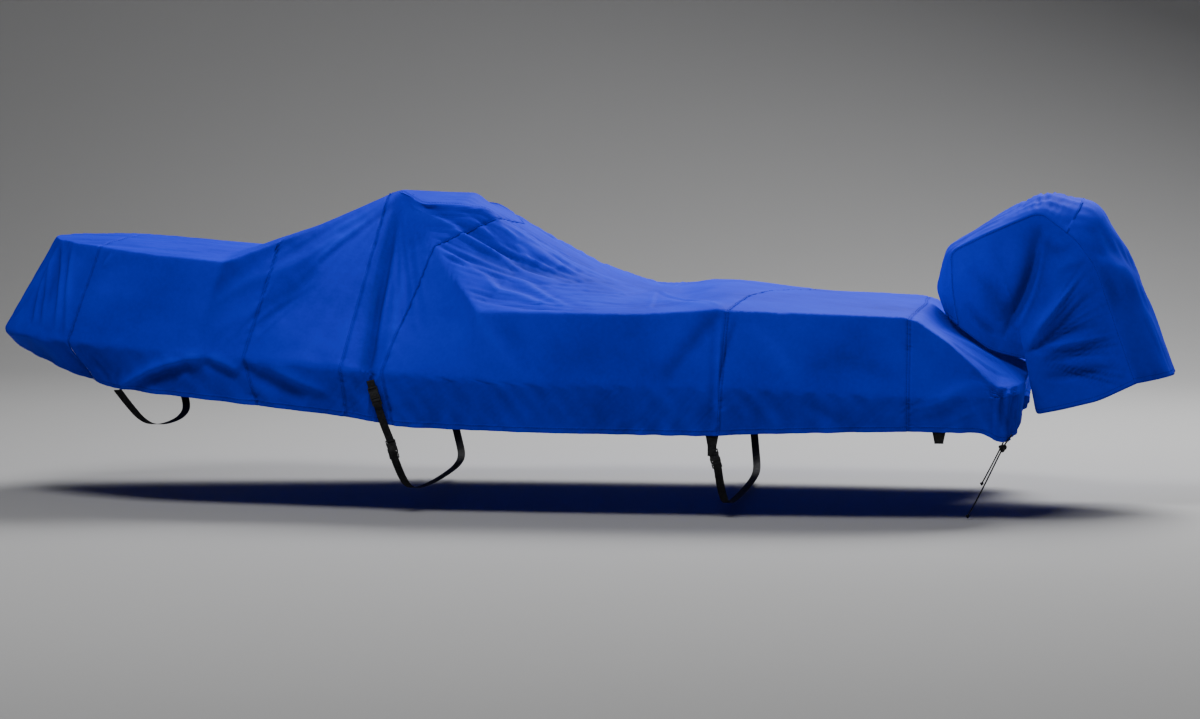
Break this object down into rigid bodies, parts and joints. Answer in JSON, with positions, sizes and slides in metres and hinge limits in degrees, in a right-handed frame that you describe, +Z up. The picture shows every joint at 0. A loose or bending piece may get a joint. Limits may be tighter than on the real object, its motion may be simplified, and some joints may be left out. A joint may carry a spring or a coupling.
{
  "type": "boat cover with motor hood",
  "caption": "Fitted cloth cover draped over an open boat with a raised console, with webbing straps under the hull, stern ties and a separate hood for an outboard motor.",
  "frame": {"origin": "the inner face of the crown panel on the centre line, where the boat's console carries the cover", "axes": "+X aft, from the bow to the motor; +Y to starboard; +Z up"},
  "size_m": [5.7504, 1.8955, 1.4983],
  "materials": {
    "cloth": "coated plain-weave polyester, dull sheen",
    "webbing": "flat woven polypropylene webbing, matt",
    "plastic": "moulded acetal, satin",
    "cord": "braided cord, matt"
  },
  "bodies": {
    "root": {"cover_nose": "cloth", "cover_fore": "cloth", "cover_rise": "cloth", "cover_peak_port": "cloth", "cover_crown": "cloth", "cover_peak_starboard": "cloth", "cover_mid": "cloth", "cover_aft": "cloth", "cover_stern": "cloth", "hood_front": "cloth", "hood_rear": "cloth", "hood_port": "cloth", "hood_starboard": "cloth", "strap_bow": "webbing", "strap_mid": "webbing", "strap_aft": "webbing", "link_mid_port": "webbing", "tab_aft_port": "webbing", "tab_stern_port": "webbing", "link_mid_starboard": "webbing", "tab_aft_starboard": "webbing", "tab_stern_starboard": "webbing", "buckle_mid_upper_port": "plastic", "buckle_mid_lower_port": "plastic", "buckle_aft_port": "plastic", "buckle_mid_upper_starboard": "plastic", "buckle_mid_lower_starboard": "plastic", "buckle_aft_starboard": "plastic", "tie_upper_port": "cord", "tie_knot_port": "cord", "tie_port": "cord", "tie_end_port": "cord", "tie_upper_starboard": "cord", "tie_knot_starboard": "cord", "tie_starboard": "cord", "tie_end_starboard": "cord"}
  },
  "joints": []
}
